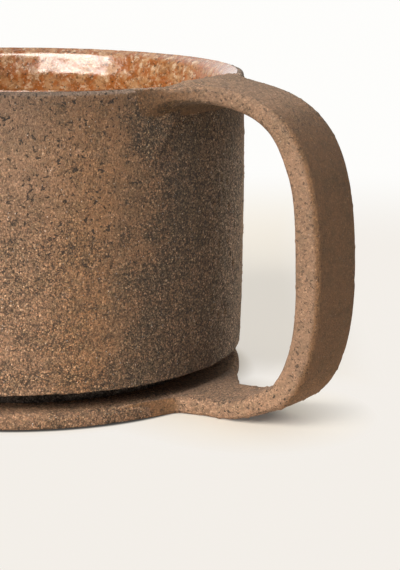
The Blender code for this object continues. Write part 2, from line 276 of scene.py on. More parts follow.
def makeGlaze():
    centre, back = glaze["lipCentre"], glaze["back"]
    start = (glaze["inner"], centre[1] - 3.0)
    corner = (glaze["inner"] - glaze["corner"], glaze["floorTop"] + glaze["corner"])
    front = arcPoints(centre, glaze["lipReach"], glaze["lipEnd"], 180, 0.3)
    thick = len(front) - 1
    reach = centre[0] - glaze["inner"]
    thin = glaze["startThin"]
    front = [(centre[0] + (x - centre[0]) * blend(thin, reach / glaze["lipReach"], ease(i, 0, thick)),
              centre[1] + (z - centre[1]) * blend(thin, 1, ease(i, 0, 3)))
             for i, (x, z) in enumerate(front)]
    front += linePoints(front[-1], (glaze["inner"], corner[1]), glaze["spacing"])[1:]
    front += arcPoints(corner, glaze["corner"], 0, -90, glaze["spacing"])[1:]
    front += linePoints(front[-1], (0, glaze["floorTop"]), 1.0)[1:]
    rear = linePoints((0, glaze["floorTop"] - back), (corner[0], glaze["floorTop"] - back), 9)
    rear += arcPoints(corner, glaze["corner"] + back, -90, 0, 1.6)[1:]
    rear += linePoints(rear[-1], (glaze["inner"] + back, start[1]), 9)[1:]
    rear += [(glaze["inner"] + back + 0.5, centre[1] + 0.3), (centre[0] - 1.0, centre[1] + 1.1)]
    bm = spinProfile(front + rear, glaze["segments"])
    bm.normal_update()
    low, high, share = glaze["thinOverLip"]
    moves = []
    for vert in bm.verts:
        facing = vert.normal.dot(Vector((-vert.co.x, -vert.co.y, 20)))
        if facing < 0:
            continue
        place = vert.co / glaze["lumpSize"]
        height = glaze["lump"] * (noise.noise(place) + 0.5 * noise.noise(place * 2.3))
        height += glaze["wave"] * noise.noise(vert.co / glaze["waveSize"])
        height *= 1 - share * ease(vert.co.z, low, high)       # thin over the lip, so it lies close there
        height += glaze["clayShare"] * clayRelief(vert.co)
        moves.append((vert, vert.normal * height))
    for vert, move in moves:
        vert.co += move
    for vert in bm.verts:  # the glaze has run unevenly over the lip
        if vert.co.z < centre[1] - 0.5:
            continue
        around = vert.co.xy.length
        heading = vert.co.xy / around
        turn = math.degrees(math.atan2(vert.co.z - centre[1], centre[0] - around))
        far = math.hypot(vert.co.z - centre[1], centre[0] - around)
        place = Vector((heading.x * 45, heading.y * 45, 3.0))
        wide, small = glaze["edgeSizes"]
        wander = noise.noise(place / wide) + 0.5 * noise.noise(place / small) - 0.2
        azimuth = math.degrees(math.atan2(heading.y, heading.x))
        beside = within(azimuth, *glaze["besideArc"])
        turn += (glaze["edgeWander"] * wander - glaze["shortBeside"] * beside) * ease(turn, 20, 80)
        turn = math.radians(turn)
        vert.co.xy = heading * (centre[0] - far * math.cos(turn))
        vert.co.z = centre[1] + far * math.sin(turn)
    for vert in bm.verts:
        lipFlare(vert.co)
    return finishPiece("glazePiece", bm, "mottled_glaze", "inner_glaze")


# the strap handle with its flare at the lip and its fillets at the disc
strap = {
    "halfWidth": 7.65, "top": 66.6, "lift": 0.1, "reach": 79.5, "gripDrop": 2.4, "gripLean": 0.032,
    "heel": (70.0, 4.0), "heelSlope": 21, "rootPull": (26.8, 0.5), "gripPulls": (23.9, 17.4),
    "heelPulls": (5.0, 10.0), "tonguePull": 13.3,
    "thickness": ((0.0, 3.7), (0.15, 3.6), (0.31, 5.0), (0.50, 5.5), (0.67, 5.2), (0.74, 5.0),
                  (0.79, 4.4), (0.89, 3.4), (1.0, 3.2)),
    "edgeRound": 1.5, "crown": 0.30,
    "flareNear": 10.5, "flareFar": 12.5, "underFlare": 2.8,     # hollow radii at the lip
    "filletNear": (1.9, 6.5, 5.0, 0.5),      # straight part and its reach, steep part and its reach
    "filletFar": (6.0, 6.2, 3.4, 12.0),      # width and place of the hollow, and its limit at the rim
    "filletLimit": 15.0,
    "overLip": 2.5, "sunk": 0.7, "tongueDrop": 0.12,
    "around": 176, "spacing": 0.34,
    "halfHeight": 33,                        # above it lies the root's half, below it the tongue's
    "jointReach": 14, "bendFade": (6, 13),   # how far the joints and the bend round the wall reach
    "insideSpread": 6, "insideDrop": 2,      # growth inside the wall, where it is hidden
    "lowDepth": (0.35, 1.0), "topDepth": (0.1, 0.45),        # shares of the thickness
    "liftedArc": (-15, -4, 15, 21),          # degrees, where the strap lies over the lip
    "liftedFade": (1.0, 2.5), "dropFade": (1, 9), "overRise": 0.12,
    "tipDrop": 1.0, "tipFade": (0.7, 2.5),   # the flare's tips end under the glaze
    "tongueHeight": 3, "smoothed": 0.5, "smoothPlace": (50, 62), "smoothHeights": (6, 14),
    "closeRings": (0.03, 0.1, 0.2, 0.35, 0.55, 0.8, 1.1, 1.45),   # extra rings beside both joints
}


def cubic(corners, steps):
    points = []
    for step in range(steps + 1):
        t = step / steps
        shares = ((1 - t) ** 3, 3 * t * (1 - t) ** 2, 3 * t * t * (1 - t), t ** 3)
        points.append(Vector(sum(share * corner[axis] for share, corner in zip(shares, corners))
                             for axis in range(2)))
    return points


def strapLine():
    middle = (strap["top"] + strap["lift"]) / 2 - strap["gripDrop"]
    grip = (strap["reach"], middle)
    up, down = strap["gripPulls"]
    lean = strap["gripLean"]
    heel = Vector(strap["heel"])
    slope = math.radians(strap["heelSlope"])
    rise = Vector((math.cos(slope), math.sin(slope)))
    root = (wall["lipRadius"], strap["top"])
    tip = (disc["radius"], strap["lift"])
    pullOut, pullUp = strap["rootPull"]
    ahead, behind = strap["heelPulls"]
    line = cubic((root, (root[0] + pullOut, root[1] + pullUp),
                  (grip[0] - lean * up, middle + up), grip), 200)
    line += cubic((grip, (grip[0] + lean * down, middle - down), heel + rise * ahead, heel), 120)[1:]
    line += cubic((heel, heel - rise * behind, (tip[0] + strap["tonguePull"], tip[1]), tip), 80)[1:]
    return line


def filletWidth(away, near):  # how far the clay spreads beside the tongue
    if near:
        straight, reach, steep, short = strap["filletNear"]
        return straight * max(0.0, 1 - away / reach) + steep * math.exp(-away / short)
    width, reach, unit, limit = strap["filletFar"]
    spread = width * (max(0.0, reach - away) / unit) ** 2
    return limit * (1 - math.exp(-spread / limit))


def strapStations():  # places along the strap: point, direction inwards and thickness
    line = strapLine()
    lengths = [0.0]
    for before, after in zip(line, line[1:]):
        lengths.append(lengths[-1] + (after - before).length)
    total = lengths[-1]
    close = strap["closeRings"]
    steps = round((total - 2 * close[-1]) / strap["spacing"])
    goals = [0.0, *close[:-1]]
    goals += [close[-1] + (total - 2 * close[-1]) * step / steps for step in range(steps + 1)]
    goals += [total - gap for gap in close[-2::-1]] + [total]
    stations, index = [], 0
    for goal in goals:
        while index < len(lengths) - 2 and lengths[index + 1] < goal:
            index += 1
        part = (goal - lengths[index]) / (lengths[index + 1] - lengths[index])
        along = (line[index + 1] - line[index]).normalized()
        share = goal / total
        for (start, before), (end, after) in zip(strap["thickness"], strap["thickness"][1:]):
            if start <= share <= end:
                turn = math.pi * (share - start) / (end - start)
                thick = blend(before, after, 0.5 - 0.5 * math.cos(turn))
        stations.append((line[index].lerp(line[index + 1], part), Vector((along.y, -along.x)), thick))
    return stations


def sectionPlace(share, half, thick):  # round a rounded bar: place across, and depth from its outer face
    corner = min(strap["edgeRound"], thick * 0.36)
    flat, side = 2 * (half - corner), thick - 2 * corner
    bend = math.pi * corner / 2
    runs = (flat, bend, side, bend, flat, bend, side, bend)
    far = share * sum(runs)
    number = 0
    while number < 7 and far > runs[number]:
        far -= runs[number]
        number += 1
    part = far / runs[number]
    reach = half - corner
    if number == 0:
        return blend(reach, -reach, part), 0.0
    if number == 2:
        return -half, blend(corner, thick - corner, part)
    if number == 4:
        return blend(-reach, reach, part), thick
    if number == 6:
        return half, blend(thick - corner, corner, part)
    middles = {1: (-reach, corner, 90), 3: (-reach, thick - corner, 180),
               5: (reach, thick - corner, 270), 7: (reach, corner, 0)}
    across, depth, start = middles[number]
    angle = math.radians(start + 90 * part)
    return across + corner * math.cos(angle), depth - corner * math.sin(angle)


def strapPoint(station, share, extra):  # extra is how far the ring lies past either end
    point, inward, thick = station
    atRoot = point.y > strap["halfHeight"]
    base = wall["lipRadius"] if atRoot else disc["radius"]
    away = point.x - base if extra == 0 else -extra
    across, depth = sectionPlace(share, strap["halfWidth"], thick)
    crown = strap["crown"] * (1 - (across / strap["halfWidth"]) ** 2)
    depth -= crown * (1 - 2 * depth / thick)
    near = across < 0
    if point.x - base > strap["jointReach"]:
        wide = under = 0.0
    elif atRoot:
        wide = hollow(max(away, 0), strap["flareNear"] if near else strap["flareFar"])
        wide -= strap["insideSpread"] * min(away, 0)
        under = hollow(max(away, 0), strap["underFlare"]) - strap["insideDrop"] * min(away, 0)
    else:
        wide = min(filletWidth(away, near), strap["filletLimit"])
        under = 0.0
    across *= 1 + wide / strap["halfWidth"]
    low = ease(depth / thick, *strap["lowDepth"])
    topness = 1 - ease(depth / thick, *strap["topDepth"])
    depth += under * low
    if extra:
        own = blend(min(extra, strap["sunk"]), extra, topness if atRoot else 0.0)
        away = -own
    here = point + inward * depth
    x, z = (base + away, here.y) if extra else (here.x, here.y)
    bend = 1 - ease(away, *strap["bendFade"])
    ring = base + away if extra else x
    x -= bend * (ring - math.sqrt(max(ring * ring - across * across, 1.0)))
    if atRoot:
        turn = math.degrees(math.atan2(across, x))
        middle = within(turn, *strap["liftedArc"])
        lifted = middle * (1 - ease(-away, *strap["liftedFade"]))
        drop = strap["top"] - wall["height"] + strap["overRise"]
        drop *= 1 - blend(lifted, 1.0, ease(away, *strap["dropFade"]))
        drop += strap["tipDrop"] * ease(-away, *strap["tipFade"]) * (1 - middle)
        z -= drop * (1 - low)
    elif z < strap["tongueHeight"]:
        z -= strap["tongueDrop"] * (1 - low)
    return Vector((x, across, z))


def makeStrap():
    stations = strapStations()
    rootRings = [strap["overLip"] * step / 8 for step in range(8, 0, -1)] + [0.15, 0.05]
    discRings = [0.06, 0.15, 0.3, 0.6]
    rings = [(stations[0], extra) for extra in rootRings] + [(station, 0) for station in stations]
    rings += [(stations[-1], extra) for extra in discRings]
    count = strap["around"]
    bm = bmesh.new()
    bmesh.ops.create_grid(bm, x_segments=count, y_segments=len(rings) - 1, size=0.5)
    for vert in bm.verts:  # the flat grid is wrapped into the bent bar
        station, extra = rings[round((vert.co.y + 0.5) * (len(rings) - 1))]
        vert.co = strapPoint(station, (vert.co.x + 0.5) % 1.0, extra)
    bmesh.ops.remove_doubles(bm, verts=bm.verts, dist=mergeWithin)
    ends = [edge for edge in bm.edges if edge.is_boundary]
    bmesh.ops.holes_fill(bm, edges=ends)
    bmesh.ops.recalc_face_normals(bm, faces=bm.faces)
    roughen(bm, lambda co: 1 - strap["smoothed"] * ease(co.x, *strap["smoothPlace"])
            * ease(co.z, *strap["smoothHeights"]))
    return finishPiece("strapPiece", bm, "brown_stoneware", "handle_strap", "upper_root_coil",
                       "lower_root_coil_left", "lower_root_coil_right")


# materials
def addNode(tree, kind, **values):
    node = tree.nodes.new(kind)
    for name, value in values.items():
        if name == "inputs":
            for socket, number in value.items():
                node.inputs[socket].default_value = number
        else:
            setattr(node, name, value)
    return node


def setInput(tree, node, socket, value):  # a number, a colour or another node's output
    if isinstance(value, (int, float)):
        node.inputs[socket].default_value = value
    elif isinstance(value, tuple):
        node.inputs[socket].default_value = (*value, 1)
    else:
        tree.links.new(value, node.inputs[socket])


def join(tree, source, output, target, socket):
    tree.links.new(source.outputs[output], target.inputs[socket])


def newGroup(name, inputs, outputs):
    tree = bpy.data.node_groups.new(name, "ShaderNodeTree")
    for socket, kind in inputs:
        tree.interface.new_socket(name=socket, in_out="INPUT", socket_type=kind)
    for socket, kind in outputs:
        tree.interface.new_socket(name=socket, in_out="OUTPUT", socket_type=kind)
    return tree, tree.nodes.new("NodeGroupInput"), tree.nodes.new("NodeGroupOutput")


def mathNode(tree, operation, first, *others):
    for value in others:
        node = addNode(tree, "ShaderNodeMath", operation=operation)
        setInput(tree, node, 0, first)
        setInput(tree, node, 1, value)
        first = node.outputs[0]
    return first


def times(tree, first, *others):
    return mathNode(tree, "MULTIPLY", first, *others)


def plus(tree, first, *others):
    return mathNode(tree, "ADD", first, *others)


def most(tree, first, *others):
    return mathNode(tree, "MAXIMUM", first, *others)


def rest(tree, value):  # what is left of one
    return mathNode(tree, "SUBTRACT", 1.0, value)


def vectorMath(tree, operation, vector, other=(0, 0, 0)):
    node = addNode(tree, "ShaderNodeVectorMath", operation=operation, inputs={1: other})
    setInput(tree, node, 0, vector)
    return node.outputs["Value"]


def mixColour(tree, share, first, second, way="MIX"):
    node = addNode(tree, "ShaderNodeMix", data_type="RGBA", blend_type=way)
    for socket, value in ((0, share), (6, first), (7, second)):
        setInput(tree, node, socket, value)
    return node.outputs[2]


def remap(tree, value, low, high, start=0.0, end=1.0, way="LINEAR"):
    node = addNode(tree, "ShaderNodeMapRange", interpolation_type=way)
    for number, source in enumerate((value, low, high, start, end)):
        setInput(tree, node, number, source)
    return node.outputs[0]


def fade(tree, value, low, high, start=0.0, end=1.0):
    return remap(tree, value, low, high, start, end, "SMOOTHSTEP")


cellLook = {
    "spotReach": (0.4, 0.8), "spotSoft": 0.55,       # least and added reach, where its edge begins
    "dome": (0.0, 0.75), "domeHigh": (0.5, 0.7), "gap": (0.38, 0.72),
}


def patternCells(tree, source):  # the distance to each cell's centre, and three random numbers for it
    cells = addNode(tree, "ShaderNodeTexVoronoi", feature="F1")
    join(tree, source, "Vector", cells, "Vector")
    join(tree, source, "Per mm", cells, "Scale")
    dice = addNode(tree, "ShaderNodeSeparateColor")
    join(tree, cells, "Color", dice, 0)
    return cells.outputs["Distance"], dice.outputs


def makeSpots():  # scattered spots of uneven size: a mask and a random shade for each
    tree, source, result = newGroup(
        "scatteredSpots",
        (("Vector", "NodeSocketVector"), ("Per mm", "NodeSocketFloat"), ("Size", "NodeSocketFloat"),
         ("Share", "NodeSocketFloat")),
        (("Mask", "NodeSocketFloat"), ("Shade", "NodeSocketFloat")))
    distance, dice = patternCells(tree, source)
    least, added = cellLook["spotReach"]
    reach = times(tree, source.outputs["Size"], plus(tree, times(tree, dice[1], added), least))
    mask = fade(tree, distance, times(tree, reach, cellLook["spotSoft"]), reach, 1.0, 0.0)
    chosen = mathNode(tree, "LESS_THAN", dice[0], source.outputs["Share"])
    setInput(tree, result, "Mask", times(tree, mask, chosen))
    setInput(tree, result, "Shade", dice[2])
    return tree


def makeSand():  # packed sand: its height, a random shade for each grain, and the gaps between them, where shade is painted
    tree, source, result = newGroup(
        "packedSand", (("Vector", "NodeSocketVector"), ("Per mm", "NodeSocketFloat")),
        (("Height", "NodeSocketFloat"), ("Shade", "NodeSocketFloat"), ("Gap", "NodeSocketFloat")))
    distance, dice = patternCells(tree, source)
    dome = fade(tree, distance, *cellLook["dome"], 1.0, 0.0)
    least, added = cellLook["domeHigh"]
    setInput(tree, result, "Height", times(tree, dome, plus(tree, times(tree, dice[1], added), least)))
    setInput(tree, result, "Shade", dice[0])
    setInput(tree, result, "Gap", fade(tree, distance, *cellLook["gap"]))
    return tree


unevenness = {  # clouds of fired clay: size per mm, detail, twist, where each begins and is full
    "Slow": (0.055, 3, 0.0, 0.32, 0.68), "Patch": (0.16, 3, 0.0, 0.34, 0.68),
    "Blotch": (0.42, 3, 0.0, 0.3, 0.7), "Fine": (1.6, 3, 0.0, 0.3, 0.7),
    "Scar": (1.20, 2, 0.5, 0.615, 0.645),
}


def addCloud(tree, vector, scale, detail, twist):
    cloud = addNode(tree, "ShaderNodeTexNoise",
                    inputs={"Scale": scale, "Detail": detail, "Roughness": 0.6, "Distortion": twist})
    setInput(tree, cloud, "Vector", vector)
    return cloud.outputs[0]


def makeGrain():
    tree, source, result = newGroup("clayGrain", (("Vector", "NodeSocketVector"),),
                                    tuple((name, "NodeSocketFloat") for name in unevenness))
    for name, (scale, detail, twist, low, high) in unevenness.items():
        cloud = addCloud(tree, source.outputs["Vector"], scale, detail, twist)
        setInput(tree, result, name, fade(tree, cloud, low, high))
    return tree


def objectMillimetres(tree):
    scale = addNode(tree, "ShaderNodeMapping", inputs={"Scale": (1000, 1000, 1000)})
    join(tree, addNode(tree, "ShaderNodeTexCoord"), "Object", scale, "Vector")
    return scale.outputs[0]


def useGroup(tree, group, vector, numbers={}):  # numbers for the group's own inputs
    node = addNode(tree, "ShaderNodeGroup", node_tree=group, inputs=numbers)
    setInput(tree, node, "Vector", vector)
    return node.outputs


def newMaterial(name, numbers):
    material = bpy.data.materials.new(name)
    material.use_nodes = True
    shader = material.node_tree.nodes["Principled BSDF"]
    for socket, value in numbers.items():
        shader.inputs[socket].default_value = value
    return material, material.node_tree, shader


def addBump(tree, shader, height, strength):
    bump = addNode(tree, "ShaderNodeBump", inputs={"Strength": strength, "Distance": millimetre})
    setInput(tree, bump, "Height", height)
    join(tree, bump, 0, shader, "Normal")


def giveMaterial(item, material):
    item.data.materials.clear()
    item.data.materials.append(material)


clay = {
    "warm": (0.355, 0.200, 0.117), "olive": (0.200, 0.128, 0.072), "dark": (0.052, 0.032, 0.019),
    "grainTones": ((0.0, (0.26, 0.24, 0.22)), (0.15, (0.56, 0.54, 0.50)), (0.31, (0.96, 0.94, 0.90)),
                   (0.50, (1.02, 1.05, 0.98)), (0.66, (1.22, 1.11, 1.00)), (0.84, (1.42, 1.42, 1.40)),
                   (0.95, (2.0, 2.1, 2.1))),
    # spots: per mm, size, share of the cells, colour, strength
    "pale": (1.5, 0.30, 0.26, (0.56, 0.42, 0.29), 0.40),
    "rust": (1.1, 0.32, 0.14, (0.38, 0.17, 0.075), 0.28),
    "speck": (1.25, 0.30, 0.30, (0.052, 0.032, 0.019), 0.85),
    "spark": (2.9, 0.34, 0.07, (0.85, 0.80, 0.72), 0.75),
    "sandPerMm": 2.6, "fineSandPerMm": 4.4,
    "slowShare": 0.6, "worn": (0.2, 0.8), "bare": (0.5, 0.86),       # bare is where sand shows
    "oliveShare": 0.5,
    "gapShadeStrength": 0.7, "blotched": (0.45, 1.0), "blotchStrength": 0.4, "scarStrength": 0.55,
    "sandBump": 0.20, "fineSandBump": 0.13, "fineBump": 0.07, "scarBump": 0.28, "lumpBump": 0.12,
    "ior": 1.5, "roughness": (0.88, 0.35),                   # of the clay, and of its glinting grains
}

# heights and places across are in millimetres, and facing runs from 0 to 1
wallLook = {
    "sidePlace": (37.5, 46.5), "sideSlant": 0.03, "sideWander": 5.5,     # bare olive sand at the handle
    "sideBare": 1.25, "sideOlive": (0.42, 0.9), "sideStrong": 0.95,
    "skinHeights": (10.0, 58.0), "skinBare": (1.15, 0.55),               # smoother skin higher up
    # darker beside the handle towards the strap's root: stain and painted shade under the root
    "stainAndShadeHeights": (32.0, 56.0), "stainAndShade": (0.05, 0.24),
    "pitHeights": (15.0, 45.0), "pitDepth": (0.40, 0.95), "pitted": 1.3,
    "toneHeights": (20.0, 46.0), "tones": (1.05, 0.90),
    "topHeights": (54.0, 65.2), "topTones": (1.0, 0.64), "lipHeights": (64.8, 65.5), "lipTones": (1.0, 0.55),
    "rimWay": (0.82, 0.57), "rimFacing": (0.82, 0.97), "rimHeights": (48.0, 58.0),
    "rimLightLift": 0.7, "rimSheenGrey": 0.35,                                     # painted rim light and sheen, where the wall faces right and back
    # the lip's lift is painted light on its upward faces beside the handle
    "lipFacing": (0.0, 0.5), "lipPlace": (22.0, 40.0), "lipLightLift": 1.5, "lipGrey": 0.7,
    "strongPlace": (30.0, 44.0), "strong": (0.98, 1.13),
}
strapLook = {
    "gripDetail": 0.31, "edgeDetail": 0.37, "tongueDetail": 0.46, "wallDetail": 0.9, "rootTopDetail": 0.7,
    "tongueHeights": (6.0, 15.0), "wallPlace": (42.0, 47.5), "edgePlace": (5.6, 7.2),
    "topHeights": (60.0, 64.0), "topFacing": (0.5, 0.85), "rootTopPlace": (50.0, 66.0),
    "underFacing": (-0.05, -0.5), "underPlace": (50.0, 60.0), "underHeights": (30.0, 40.0),
    # under the root the clay is sandier, and olive as painted shade
    "underDetail": 0.75, "underShadeOlive": 0.55,
    "tongueTopDetail": 0.72, "tongueTopHeights": (5.0, 12.0), "tongueTopFacing": (0.4, 0.8),
    # the top's tones are painted light on the strap's upward faces near the lip
    "gripTone": 0.71, "tongueTone": 0.965, "topTone": 0.89, "rootLightTone": 0.26,
    "toneHeights": (5.0, 16.0), "rootPlace": (48.0, 60.0),
    # the outer face's tones are painted shade
    "outerFacing": (0.3, 0.8), "outerShadeTones": (1.0, 0.83), "strong": (0.97, 1.16),
    "upperHeights": (57.0, 62.0), "upperPlace": (52.0, 68.0), "upperShade": 0.16,
    "nearFacing": (-0.1, -0.6), "nearPits": (0.35, 1.0), "upFacing": (0.3, 0.8), "upPits": (0.35, 0.8),
    "pitHeights": (8.0, 20.0), "pitDepth": (0.95, 0.6),
}


def wallWear(tree, parts, facing, uneven, patch, bare, olive, tone):
    look, across, height = wallLook, parts["X"], parts["Z"]
    place = mathNode(tree, "SUBTRACT", across, times(tree, height, look["sideSlant"]))
    place = plus(tree, place, times(tree, mathNode(tree, "SUBTRACT", uneven, 0.5), look["sideWander"]))
    side = fade(tree, place, *look["sidePlace"])
    bare = times(tree, bare, remap(tree, height, *look["skinHeights"], *look["skinBare"]))
    bare = most(tree, bare, times(tree, side, look["sideBare"]))
    olive = most(tree, olive, times(tree, side, remap(tree, patch, 0.0, 1.0, *look["sideOlive"])))
    # darker beside the handle, more so up towards the strap's root: partly stain, partly painted shade under
    # the root
    stainAndShade = times(tree, side, fade(tree, height, *look["stainAndShadeHeights"], *look["stainAndShade"]))
    deep = fade(tree, height, *look["pitHeights"], *look["pitDepth"])
    shade = times(tree, fade(tree, height, *look["toneHeights"], *look["tones"]),
                  remap(tree, height, *look["topHeights"], *look["topTones"]),
                  fade(tree, height, *look["lipHeights"], *look["lipTones"]))
    shade = rest(tree, times(tree, rest(tree, shade), rest(tree, side)))       # not beside the handle
    # painted rim light and sheen: lighter and greyer where the wall faces right and back, below the strap's
    # root
    right, back = look["rimWay"]
    rim = plus(tree, times(tree, facing["X"], right), times(tree, facing["Y"], back))
    rim = times(tree, fade(tree, rim, *look["rimFacing"], 0.0, look["rimLightLift"]),
                fade(tree, height, *look["rimHeights"], 1.0, 0.0))
    # painted light: lighter and greyer where the lip faces up on the handle side, on greyer clay
    lip = times(tree, fade(tree, facing["Z"], *look["lipFacing"], 0.0, look["lipLightLift"]),
                fade(tree, across, *look["lipPlace"]))
    tone = times(tree, shade, plus(tree, rim, 1.0), plus(tree, lip, 1.0), tone)
    strong = remap(tree, side, 0.0, 1.0, fade(tree, across, *look["strongPlace"], *look["strong"]),
                   look["sideStrong"])
    strong = times(tree, strong, rest(tree, times(tree, rim, look["rimSheenGrey"])),
                   remap(tree, lip, 0.0, look["lipLightLift"], 1.0, look["lipGrey"]))
    return bare, olive, look["pitted"], deep, stainAndShade, tone, strong


def strapWear(tree, parts, facing, bare, olive):  # smoothed, but sandy at its edges and on the tongue
    look, across, height = strapLook, parts["X"], parts["Z"]
    grip = look["gripDetail"]
    onTop = times(tree, fade(tree, height, *look["topHeights"]),
                  fade(tree, facing["Z"], *look["topFacing"]))
    onRoot = remap(tree, across, *look["rootTopPlace"], look["rootTopDetail"], grip)
    under = times(tree, fade(tree, facing["Z"], *look["underFacing"]),
                  fade(tree, across, *look["underPlace"], 1.0, 0.0),
                  fade(tree, height, *look["underHeights"]))
    onTongue = times(tree, fade(tree, height, *look["tongueTopHeights"], look["tongueTopDetail"], 0.0),
                     fade(tree, facing["Z"], *look["tongueTopFacing"]))
    fromMiddle = most(tree, parts["Y"], times(tree, parts["Y"], -1.0))
    detail = most(tree, fade(tree, height, *look["tongueHeights"], look["tongueDetail"], grip),
                  fade(tree, across, *look["wallPlace"], look["wallDetail"], grip),
                  fade(tree, fromMiddle, *look["edgePlace"], grip, look["edgeDetail"]),
                  times(tree, onTop, onRoot), times(tree, under, look["underDetail"]), onTongue)
    bare = times(tree, bare, detail)
    # painted shade: the root's underside takes the darker olive of the wall beside it
    olive = most(tree, times(tree, olive, 0.5), times(tree, under, look["underShadeOlive"]))
    # painted light: the strap's upward faces near the lip are lighter, most of all over the root
    lift = look["topTone"] - look["gripTone"]
    lifted = fade(tree, across, *look["rootPlace"], lift + look["rootLightTone"], lift)
    tone = plus(tree, times(tree, onTop, lifted),
                fade(tree, height, *look["toneHeights"], look["tongueTone"], look["gripTone"]))
    upper = times(tree, fade(tree, height, *look["upperHeights"], 0.0, look["upperShade"]),
                  fade(tree, across, *look["upperPlace"], 1.0, 0.0))
    # painted shade: the outward-facing side of the strap is darker, with stronger colour
    tone = times(tree, tone, fade(tree, facing["X"], *look["outerFacing"], *look["outerShadeTones"]),
                 rest(tree, upper))
    strong = fade(tree, facing["X"], *look["outerFacing"], *look["strong"])
    pitted = most(tree, detail, fade(tree, facing["Y"], *look["nearFacing"], *look["nearPits"]),
                  fade(tree, facing["Z"], *look["upFacing"], *look["upPits"]))
    deep = fade(tree, height, *look["pitHeights"], *look["pitDepth"])
    return detail, bare, olive, pitted, deep, tone, strong


def makeClay(name, groups, tone=1.0, part=None, strong=1.0):
    spotGroup, grainGroup, sandGroup = groups
    material, tree, shader = newMaterial(name, {"Metallic": 0, "IOR": clay["ior"]})
    place = objectMillimetres(tree)
    parts = addNode(tree, "ShaderNodeSeparateXYZ")
    setInput(tree, parts, 0, place)
    facing = addNode(tree, "ShaderNodeSeparateXYZ")          # which way the surface faces
    join(tree, addNode(tree, "ShaderNodeTexCoord"), "Normal", facing, 0)
    grain = useGroup(tree, grainGroup, place)
    slow, patch, blotch, fine, scar = (grain[kind] for kind in unevenness)
    sand = useGroup(tree, sandGroup, place, {"Per mm": clay["sandPerMm"]})
    fineSand = useGroup(tree, sandGroup, place, {"Per mm": clay["fineSandPerMm"]})
    # where the skin is worn off, the sand shows; elsewhere the clay is smoother
    uneven = plus(tree, times(tree, slow, clay["slowShare"]), times(tree, patch, 1 - clay["slowShare"]))
    bare = fade(tree, uneven, *clay["worn"], *clay["bare"])
    olive = times(tree, patch, slow, clay["oliveShare"])
    detail, pitted, deep, stainAndShade = 1.0, 1.0, clay["scarStrength"], None
    if part == "wall":
        bare, olive, pitted, deep, stainAndShade, tone, strong = wallWear(
            tree, parts.outputs, facing.outputs, uneven, patch, bare, olive, tone)
    elif part == "strap":
        detail, bare, olive, pitted, deep, tone, strong = strapWear(
            tree, parts.outputs, facing.outputs, bare, olive)
    bare = mathNode(tree, "MINIMUM", bare, 1.0)
    colour = mixColour(tree, olive, clay["warm"], clay["olive"])
    blotch = fade(tree, blotch, *clay["blotched"], 0.0, clay["blotchStrength"])
    colour = mixColour(tree, blotch, colour, clay["olive"])
    # stain and painted shade beside the handle, towards the strap's root
    if stainAndShade:
        colour = mixColour(tree, stainAndShade, colour, clay["dark"])
    for grains in (sand, fineSand):
        tones = addNode(tree, "ShaderNodeValToRGB")
        ramp = tones.color_ramp
        ramp.interpolation = "CONSTANT"
        for number, (start, shade) in enumerate(clay["grainTones"]):
            stop = ramp.elements[number] if number < 2 else ramp.elements.new(start)
            stop.position = start
            stop.color = (*shade, 1)
        setInput(tree, tones, 0, grains["Shade"])
        colour = mixColour(tree, bare, colour, tones.outputs[0], "MULTIPLY")
    # painted shade in the gaps between sand grains, where the skin is worn
    colour = mixColour(tree, times(tree, sand["Gap"], bare, clay["gapShadeStrength"]), colour, clay["dark"])
    masks = {}
    for kind in ("pale", "rust", "speck", "spark"):
        perMm, size, share, shade, strength = clay[kind]
        spot = useGroup(tree, spotGroup, place, {"Per mm": perMm, "Size": size, "Share": share})
        masks[kind] = spot["Mask"]
        share = times(tree, spot["Mask"], times(tree, spot["Shade"], strength),
                      pitted if kind == "speck" else detail)
        colour = mixColour(tree, share, colour, shade)
    scar = times(tree, scar, pitted, deep)
    colour = mixColour(tree, scar, colour, clay["dark"])
    level = addNode(tree, "ShaderNodeHueSaturation")
    for socket, value in (("Saturation", strong), ("Value", tone), ("Color", colour)):
        setInput(tree, level, socket, value)
    setInput(tree, shader, "Base Color", level.outputs[0])
    setInput(tree, shader, "Roughness", remap(tree, masks["spark"], 0.0, 1.0, *clay["roughness"]))
    height = times(tree, sand["Height"], bare, clay["sandBump"])
    for source, factor in ((fineSand["Height"], clay["fineSandBump"]), (fine, clay["fineBump"]),
                           (masks["pale"], clay["lumpBump"]), (masks["speck"], -clay["lumpBump"])):
        height = plus(tree, height, times(tree, source, factor, detail))
    height = mathNode(tree, "SUBTRACT", height, times(tree, scar, clay["scarBump"]))
    addBump(tree, shader, height, 1.0)
    return material


lining = {
    "orange": (0.30, 0.093, 0.021), "brown": (0.16, 0.060, 0.018), "tan": (0.40, 0.215, 0.095),
    "cream": (0.66, 0.50, 0.34), "speck": (0.05, 0.028, 0.015),
    # size per mm, twist, where the layer begins and is full, its colour and strength
    "layers": ((0.42, 0.3, 0.42, 0.60, "tan", 0.8), (0.80, 0.3, 0.48, 0.62, "brown", 0.6),
               (0.66, 0.0, 0.56, 0.66, "cream", 0.55), (1.5, 0.0, 0.57, 0.68, "cream", 0.42),
               (1.4, 0.0, 0.59, 0.65, "speck", 0.8)),
    "ior": 1.55, "coat": 1.0, "coatRoughness": 0.13, "roughness": (0.16, 0.34),
    "waveBump": 0.10, "fineBump": 0.03, "bumpStrength": 0.8,
}


